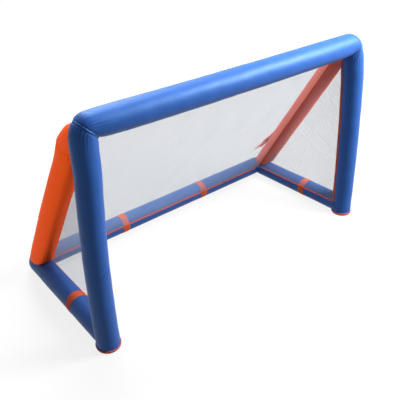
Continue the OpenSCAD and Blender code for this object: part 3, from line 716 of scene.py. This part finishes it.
def section(width, thick, columns):
    """Across and up offsets round a flat section with rounded edges, from underside 0."""
    turn = np.arange(columns) * 2 * np.pi / columns
    v = width / 2 * np.sign(np.cos(turn)) * np.abs(np.cos(turn)) ** 0.3
    h = thick / 2 * (1 + np.sign(np.sin(turn)) * np.abs(np.sin(turn)) ** 0.5)
    return v, h


def ribbon_map(made, v):
    """The map of a ribbon: metres along it, and v across it."""
    steps = np.linalg.norm(np.diff(made[:, made.shape[1] // 4], axis=0), axis=1)
    length = np.concatenate([[0.0], np.cumsum(steps)])
    return np.stack(np.broadcast_arrays(length[:, None], np.append(v, v[0])), axis=-1)


def strip(points, across, up, width, thick, columns=16):
    """A closed flat strip along a line of points, width wide and thick high. Its underside
    follows the points."""
    v, h = section(width, thick, columns)
    across, up = (np.broadcast_to(np.array(w, float), points.shape)[:, None] for w in (across, up))
    made = points[:, None] + v[:, None] * across + h[:, None] * up
    return grid(made, ribbon_map(made, v), True, "capped")


def tape(skin, along, angle, width, thick, across="angle", lift=0.0, columns=18):
    """A closed flat tape on a skin. along and angle are its middle line, and it is wide
    across the skin's angle or along its axis. It reaches 0.5 mm into the skin."""
    v, h = section(width, thick, columns)
    along, angle, lift = np.broadcast_arrays(along, angle, lift)
    s, t = (np.repeat(line[:, None], columns, axis=1) for line in (along, angle))
    if across == "angle":
        t = t + v / skin.radius
    else:
        s = s + v
    made = skin(s, t, lift[:, None] + h - 0.0005)
    return grid(made, ribbon_map(made, v), True, "capped")


tape_w = 0.012
tape_t = 0.0022
post_tape_w, post_tape_out, post_tape_below = 0.016, 0.0075, 0.045
hem_ahead = 0.025
binding = woven("orange_binding", (0.90, 0.10, 0.018), (0.74, 0.065, 0.010), tape_w, 0.0013)
seam_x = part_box("back_net")[1].x + 0.003
top_angle = np.radians(-30)
rear_angle = np.radians(-15)
side_angle = np.radians(27)

line = np.linspace(half_w - seam_x, half_w + seam_x, 260)
top_tape = mesh_piece("top_net_tape", [tape(bar_skin, line, top_angle, tape_w, tape_t)], binding)
place_piece(top_tape, "orange_binding", "top_net_binding")
short_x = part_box("back_hem_binding")[1].x
line = np.linspace(half_w - short_x, half_w + short_x, 260)
rear_tape = mesh_piece("rear_hem_tape", [tape(rear_skin, line, rear_angle, tape_w, tape_t)], binding)
place_piece(rear_tape, "orange_binding", "back_hem_binding")

hem_front, hem_rear = (corner.y - post_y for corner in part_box("right_hem_binding"))
post_first, post_last = (corner.z - foot_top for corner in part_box("right_post_binding"))


def post_seam(side, share):
    """Distance up the post and angle of the net's seam, which winds from near the inner side
    at the foot towards the rear at the top."""
    along = post_first - post_tape_below + share * (post_last - post_first + post_tape_below)
    return along, -side * np.radians(24 + 22 * share ** 1.3)


for side, word in ((-1, "left"), (1, "right")):
    line = np.linspace(hem_front - hem_ahead, hem_rear, 120)
    hem = mesh_piece(
        word + "_hem_tape", [tape(ground_skins[side], line, side * side_angle, tape_w, tape_t)], binding)
    place_piece(hem, "orange_binding", word + "_hem_binding")
    along, angle = post_seam(side, np.linspace(0, 1, 180))
    rearward = np.array([-0.25 * side, 0.97, 0.0])
    sideways = (0.97 * side, 0.25, 0.0)
    middle = post_skins[side](along, angle) + post_tape_out * rearward
    post_tape = mesh_piece(
        word + "_post_tape", [strip(middle, rearward, sideways, post_tape_w, tape_t)], binding)
    place_piece(post_tape, "orange_binding", word + "_post_binding")


# ---------- net ----------
# Fine knitted mesh, cut as one back sheet and two side sheets. It is sewn to the tubes all
# round, so it is stretched, with some tension folds in from its seams.
mesh_cloth, tree, shader = new_material("net_mesh")
patchy(tree, shader, (0.25, 0.35, 0.48), (0.19, 0.28, 0.40), 0.75, 6.0)
flat_x, flat_y = map_metres(tree)
knit_pitch = 0.0028
turns = 4 * np.pi / (np.sqrt(3) * knit_pitch)
total = None
for turn in np.radians((0, 60, 120)):
    flat = calc(tree, "ADD", calc(tree, "MULTIPLY", flat_x, turns * np.cos(turn)),
                calc(tree, "MULTIPLY", flat_y, turns * np.sin(turn)))
    wave = calc(tree, "COSINE", flat)
    total = wave if total is None else calc(tree, "ADD", total, wave)
hole = add_node(tree, "MapRange", interpolation_type="SMOOTHSTEP", From_Min=-0.9, From_Max=0.3)
tree.links.new(total, hole.inputs["Value"])
thread = calc(tree, "SUBTRACT", 0.86, calc(tree, "MULTIPLY", hole.outputs["Result"], 0.84))
tree.links.new(bumped(tree, total, 0.0001, None, 0.4), shader.inputs["Normal"])
shader.inputs["Specular IOR Level"].default_value = 0.25
through = add_node(tree, "BsdfTranslucent", Color=(0.50, 0.55, 0.62, 1.0))
lit = add_node(tree, "MixShader")
lit.inputs[0].default_value = 0.22
tree.links.new(shader.outputs[0], lit.inputs[1])
tree.links.new(through.outputs[0], lit.inputs[2])
open_air = add_node(tree, "BsdfTransparent")
knit = add_node(tree, "MixShader")
tree.links.new(thread, knit.inputs[0])
tree.links.new(open_air.outputs[0], knit.inputs[1])
tree.links.new(lit.outputs[0], knit.inputs[2])
tree.links.new(knit.outputs[0], tree.nodes["Material Output"].inputs["Surface"])

u, v = np.meshgrid(np.linspace(-1, 1, 232), np.linspace(0, 1, 172))
flat_u = u[0] * seam_x
top_line = bar_skin(flat_u + half_w, np.full(232, top_angle), tape_t / 2)
low_line = rear_skin(flat_u + half_w, np.full(232, rear_angle), tape_t / 2)
points = (1 - v)[..., None] * top_line + v[..., None] * low_line
back_wave = 0.0018
net_length = np.linalg.norm(top_line[116] - low_line[116])
outward = unit(np.cross(low_line[0] - top_line[0], (1.0, 0.0, 0.0)))
outward = outward * np.sign(outward[1])
a, b = u * seam_x, v * net_length
push = 0.0
for x, y, slope, length, width, height in (
        (-0.80, 0.12, 55, 0.16, 0.014, 0.0035), (-0.74, 0.18, 48, 0.20, 0.016, 0.003),
        (0.80, 0.12, -55, 0.16, 0.014, 0.0035), (0.72, 0.20, -47, 0.20, 0.016, 0.003),
        (-0.36, 1.30, 80, 0.10, 0.016, 0.003), (0.35, 1.30, -82, 0.10, 0.016, 0.003),
        (-0.80, 1.24, -50, 0.15, 0.015, 0.003), (0.80, 1.24, 50, 0.15, 0.015, 0.003)):
    push = push + valley(a - x, b - y, slope, length, width, -height)
random = np.random.default_rng(81)
for _ in range(9):
    wave, turn, phase = random.uniform(0.12, 0.4), random.uniform(-0.5, 0.5), random.uniform(0, 6.28)
    push = push + back_wave * np.sin(2 * np.pi * (a * np.cos(turn) + b * np.sin(turn)) / wave + phase)
edge = np.minimum(np.minimum(v, 1 - v) * net_length, (1 - np.abs(u)) * seam_x)
points = points + (push * np.tanh(edge / 0.03))[..., None] * outward
back_mesh = mesh_piece("back_mesh", [grid(points, np.stack([a, b], axis=-1))], mesh_cloth)
place_piece(back_mesh, "net_mesh", "back_net")

side_folds = (
    (-0.250, 0.780, 58, 0.09, 0.009, 0.005), (-0.230, 0.690, 40, 0.10, 0.009, 0.006),
    (-0.190, 0.585, 36, 0.13, 0.010, 0.006), (-0.270, 0.900, 66, 0.08, 0.008, 0.004),
    (-0.200, 0.470, 28, 0.13, 0.010, 0.005), (0.060, 0.140, 6, 0.16, 0.012, 0.005),
    (0.180, 0.175, -14, 0.12, 0.011, 0.004), (-0.080, 0.150, 16, 0.12, 0.012, 0.004),
    (-0.020, 0.210, 30, 0.12, 0.012, 0.003))
side_first, streak_pitch, streak_height = 0.036, 0.032, 0.0010
side_meshes = {}
for side, word in ((-1, "left"), (1, "right")):
    u, v = np.meshgrid(np.linspace(0, 1, 120), np.linspace(0, 1, 170))
    seam_top = top_line[0 if side < 0 else -1]
    seam_low = low_line[0 if side < 0 else -1]
    rear_edge = seam_low + v[:, :1] * (seam_top - seam_low)
    hem_s = (seam_low[1] - post_y) * (1 - u[0]) + side_first * u[0]
    low_edge = ground_skins[side](hem_s, np.full(120, side * side_angle), tape_t / 2)
    along, angle = post_seam(side, v[:, 0])
    front_edge = post_skins[side](along, angle, tape_t / 2)
    low_edge = (low_edge + np.exp(-u[0] / 0.04)[:, None] * (rear_edge[0] - low_edge[0])
                + np.exp((u[0] - 1) / 0.04)[:, None] * (front_edge[0] - low_edge[-1]))
    top_edge = rear_edge[-1] + u[0][:, None] * (front_edge[-1] - rear_edge[-1])
    s, t = u[..., None], v[..., None]
    points = ((1 - s) * rear_edge[:, None] + s * front_edge[:, None]
              + (1 - t) * low_edge[None] + t * top_edge[None]
              - (1 - s) * (1 - t) * rear_edge[0] - s * (1 - t) * front_edge[0]
              - (1 - s) * t * rear_edge[-1] - s * t * front_edge[-1])
    a, b = points[..., 1].copy(), points[..., 2].copy()
    push = 0.0
    for y, z, slope, length, width, height in side_folds:
        push = push + valley(a - y, b - z, slope, length, width, -height)
    seam_way = unit(seam_top - seam_low)
    to_seam = (b - seam_low[2]) * seam_way[1] - (a - seam_low[1]) * seam_way[2]
    streaks = np.abs(np.sin(2 * np.pi * to_seam / streak_pitch)) * np.exp(-((to_seam - 0.055) / 0.03) ** 2)
    edge = np.minimum(np.minimum(u, 1 - u), np.minimum(v, 1 - v))
    points[..., 0] -= side * (push + streak_height * streaks) * np.tanh(edge / 0.04)
    side_meshes[side] = mesh_piece(word + "_side_mesh", [grid(points, np.stack([a, b], axis=-1))], mesh_cloth)
    place_piece(side_meshes[side], "net_mesh", word + "_side_net")


# ---------- corner tapes ----------
# Where the back and a side of the net meet, their edges are folded together in a tape that
# stands into the goal.
corner_tape_w, corner_tape_t, corner_tape_out = 0.0135, 0.0026, 0.0055
corner_tapes = {}
for side, word in ((-1, "left"), (1, "right")):
    seam_top = top_line[0 if side < 0 else -1]
    seam_low = low_line[0 if side < 0 else -1]
    share = np.linspace(0.012, 0.985, 300)[:, None]
    inward = unit(np.array([-side, 0.0, 0.0]) - outward)
    flank = unit(np.cross(inward, seam_top - seam_low))
    wave = np.sin(share * 61 + side) * 0.0006 + np.sin(share * 23) * 0.0008
    middle = (seam_low + share * (seam_top - seam_low) + inward * corner_tape_out
              + flank * (wave - corner_tape_t / 2))
    corner_tapes[side] = mesh_piece(
        word + "_corner_tape", [strip(middle, inward, flank, corner_tape_w, corner_tape_t)], binding)
    place_piece(corner_tapes[side], "orange_binding", word + "_corner_binding")


# ---------- straps ----------
# Ribbed webbing, 50 mm wide, wrapped tightly round the ground tubes and over the net's hem.
# Each one's loose end is stuck down on the part below it.
strap_w = 0.050
strap_t = 0.0015
rear_strap_x, side_strap_y = 0.355, 0.330
webbing = woven("orange_webbing", (0.92, 0.125, 0.015), (0.78, 0.085, 0.010), strap_w, 0.0020, 0.8)


def strap(skin, place, hem_angle, first):
    """A closed strap round a tube from the angle first, a full turn and a little more. It
    steps over the hem tape and over its own start, and lies flat on the ground."""
    angle = first + np.linspace(0.0, 2 * np.pi + 0.55, 200)
    over_hem = np.exp(-(angle_from(angle, np.degrees(hem_angle)) * skin.radius / 0.0085) ** 4)
    over_start = 0.5 + 0.5 * np.tanh((angle - first - 2 * np.pi + 0.03) / 0.03)
    lift = 0.0004 + 0.0021 * over_hem + (strap_t + 0.0001) * over_start
    vertices, faces = tape(skin, np.full(200, place), angle, strap_w, strap_t, "axis", lift, 24)
    vertices[:, 2] = np.maximum(vertices[:, 2], 0.0)
    return vertices, faces


for node, skin, place, hem_angle, first in (
        ("back_left_strap", rear_skin, half_w - rear_strap_x, rear_angle, 145),
        ("back_right_strap", rear_skin, half_w + rear_strap_x, rear_angle, 145),
        ("left_base_strap", ground_skins[-1], side_strap_y, -side_angle, 105),
        ("right_base_strap", ground_skins[1], side_strap_y, side_angle, -136)):
    piece = mesh_piece(node + "_webbing", [strap(skin, place, hem_angle, np.radians(first))], webbing)
    place_piece(piece, "orange_webbing", node)


# ---------- zips ----------
# A coil zip with two dark blue tapes on the rear of the crossbar and another on the rear
# ground tube. The coil is a row of rounded loops on a core.
zip_tape_w, zip_tape_t, zip_tape_off = 0.0127, 0.0013, 0.00665
zip_cloth = woven("zip_tape", (0.012, 0.035, 0.16), (0.008, 0.022, 0.11), zip_tape_w, 0.0010,
                  thread=(0.03, 0.07, 0.25))
nylon, tree, shader = new_material("zip_coil")
patchy(tree, shader, (0.016, 0.05, 0.22), (0.010, 0.035, 0.16), 0.38, 60.0)
zip_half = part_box("crossbar_zip_tape")[1].x
coil_w, coil_t, coil_base, loop_pitch, stop_len = 0.0048, 0.0020, 0.0018, 0.0020, 0.005


def coil(origin, out, across, radius):
    """Loops, the core under them and a stop at each end, on a straight line along x."""
    origin, out, across, along = (np.array(w, float) for w in (origin, out, across, (1, 0, 0)))
    sides = 8
    turn = np.arange(sides) * 2 * np.pi / sides
    share = np.array([-1.0, -0.9, -0.5, 0.5, 0.9, 1.0])[:, None]
    slim = np.array([0.5, 0.85, 1.0, 1.0, 0.85, 0.5])[:, None]
    width = share * coil_w / 2 + 0 * turn
    high = radius + coil_base + coil_t / 2 * (1 + slim * np.sin(turn))
    parts = []
    for x in np.arange(-zip_half + stop_len + 0.0015, zip_half - stop_len - 0.001, loop_pitch):
        far = x + slim * 0.00075 * np.cos(turn)
        points = origin + far[..., None] * along + width[..., None] * across + high[..., None] * out
        parts.append(grid(points, np.zeros((len(share), sides + 1, 2)), True, "capped"))
    inner, outer = zip_half - stop_len, zip_half
    for first, last, base, w, h in ((-inner, inner, 0.0007, 0.0020, 0.0021),
                                    (-outer, -inner, 0.0008, 0.0064, 0.0036),
                                    (inner, outer, 0.0008, 0.0064, 0.0036)):
        ends = origin + np.array([[first], [last]]) * along + (radius + base) * out
        parts.append(strip(ends, across, out, w, h, 12))
    return parts


line = np.linspace(half_w - zip_half, half_w + zip_half, 160)
share = line / (2 * half_w)
bar_zip_angle = np.arctan(bar_sag * 4 * share * (1 - share) / tube_r)
rise = np.radians(ground_zip_angle - 180)
for word, skin, shift, angle, origin, out, across in (
        ("crossbar", bar_skin, arch_shift, bar_zip_angle, (0, post_y, bar_z), (0, 1, 0), (0, 0, -1)),
        ("base", rear_skin, 0.0, np.radians(ground_zip_angle), (0, rear_y, ground_z),
         (0, np.cos(rise), np.sin(rise)), (0, np.sin(rise), -np.cos(rise)))):
    tapes = [tape(skin, line + shift, angle + edge * zip_tape_off / skin.radius, zip_tape_w, zip_tape_t)
             for edge in (-1, 1)]
    piece = mesh_piece(word + "_zip_cloth", tapes, zip_cloth)
    place_piece(piece, "zip_tape", word + "_zip_tape")
    piece = mesh_piece(word + "_zip_loops", coil(origin, out, across, skin.radius), nylon)
    place_piece(piece, "zip_coil", word + "_zip_coil")


# ---------- valve flap ----------
# A piece of the orange cloth that hangs over the valve behind the right brace. It is sewn
# on under a tape at its top and stands away below. The valve's cap has pushed it into a low
# dome, cap_room high, in which the cap can unscrew.
flap_down, flap_len, flap_slope, flap_wrap = 0.870, 0.300, np.radians(9), np.radians(34)
cap_down, cap_room, dome_r = valve_down - flap_down, 0.0065, 0.04
back = np.cross((-1.0, 0.0, 0.0), lower_way)
flap_top = np.array([half_w, 0.0, 0.0]) + elbow - lower_way * flap_down
across_brace = np.cross(lower_way, back)
share = np.linspace(0, 1, 90)[:, None]
turn = np.linspace(-1, 1, 48)[None]
down = share * flap_len
out = brace_r + 0.0014 - 0.004 * turn ** 4 * share
wide = out * np.sin(turn * flap_wrap * (1 - 0.05 * np.sin(np.pi * share)))
from_cap = np.hypot(down - cap_down, turn * flap_wrap * brace_r)
high = out * np.cos(turn * flap_wrap) + down * np.sin(flap_slope) + (share - 0.08).clip(0) * (
    0.0015 * (1 + np.sin(9 * turn + 2 * share)) + 0.003 * share ** 6 * (1 + np.cos(7 * turn)))
high = high + cap_room * np.exp(-(from_cap / dome_r) ** 4)
points = (flap_top + down[..., None] * -lower_way * np.cos(flap_slope)
          + wide[..., None] * across_brace + high[..., None] * back)
flap_map = np.stack(np.broadcast_arrays(down, turn * flap_wrap * brace_r), axis=-1)
flap = mesh_piece("flap_cloth", [grid(points, flap_map)], orange_cloth)
place_piece(flap, "orange_polyester", "valve_flap", body="flap")
angle = np.linspace(-flap_wrap, flap_wrap, 40)
flap_tape = mesh_piece("flap_tape", [tape(
    brace_skins[1], np.full(40, brace_length - flap_down + 0.009), angle, tape_w, tape_t, "axis")], binding)
place_piece(flap_tape, "orange_binding", "valve_flap_hem")


# ---------- hard parts ----------
# The valve, the sliders and pulls of the zips and the air links keep their exact form. They
# are moulded plastic, rubber, plated zinc and spring wire.
def hard(name, light, dark, roughness, metallic=0.0):
    """A plain material with soft patches and a fine grain in its surface."""
    material, tree, shader = new_material(name)
    place = patchy(tree, shader, light, dark, roughness, 60.0)
    shader.inputs["Metallic"].default_value = metallic
    speckle = add_node(tree, "TexNoise", Scale=400.0, Detail=2.0)
    tree.links.new(place, speckle.inputs["Vector"])
    tree.links.new(bumped(tree, speckle.outputs["Fac"], 0.00005), shader.inputs["Normal"])
    return material


zinc = hard("zip_metal", (0.72, 0.73, 0.75), (0.62, 0.63, 0.66), 0.24, 1.0)
black = hard("valve_plastic", (0.016, 0.018, 0.022), (0.010, 0.011, 0.014), 0.40)
accent = hard("valve_accent", (0.85, 0.11, 0.012), (0.76, 0.09, 0.010), 0.30)
rubber = hard("soft_rubber", (0.020, 0.020, 0.022), (0.013, 0.013, 0.014), 0.62)
wire = hard("spring_steel", (0.60, 0.61, 0.63), (0.50, 0.51, 0.54), 0.30, 1.0)
for material, nodes in (
        (zinc, ("crossbar_zip_slider", "crossbar_zip_pull", "base_zip_slider", "base_zip_pull")),
        (black, ("valve_body", "valve_clamp_nut")), (accent, ("valve_poppet", "valve_cap")),
        (rubber, ("valve_seal", "valve_cap_gasket", "valve_tether")), (wire, ("valve_spring",)),
        (film, ("upper_air_links", "lower_air_links"))):
    for node in nodes:
        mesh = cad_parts[node].data
        mesh.materials.clear()
        mesh.materials.append(material)
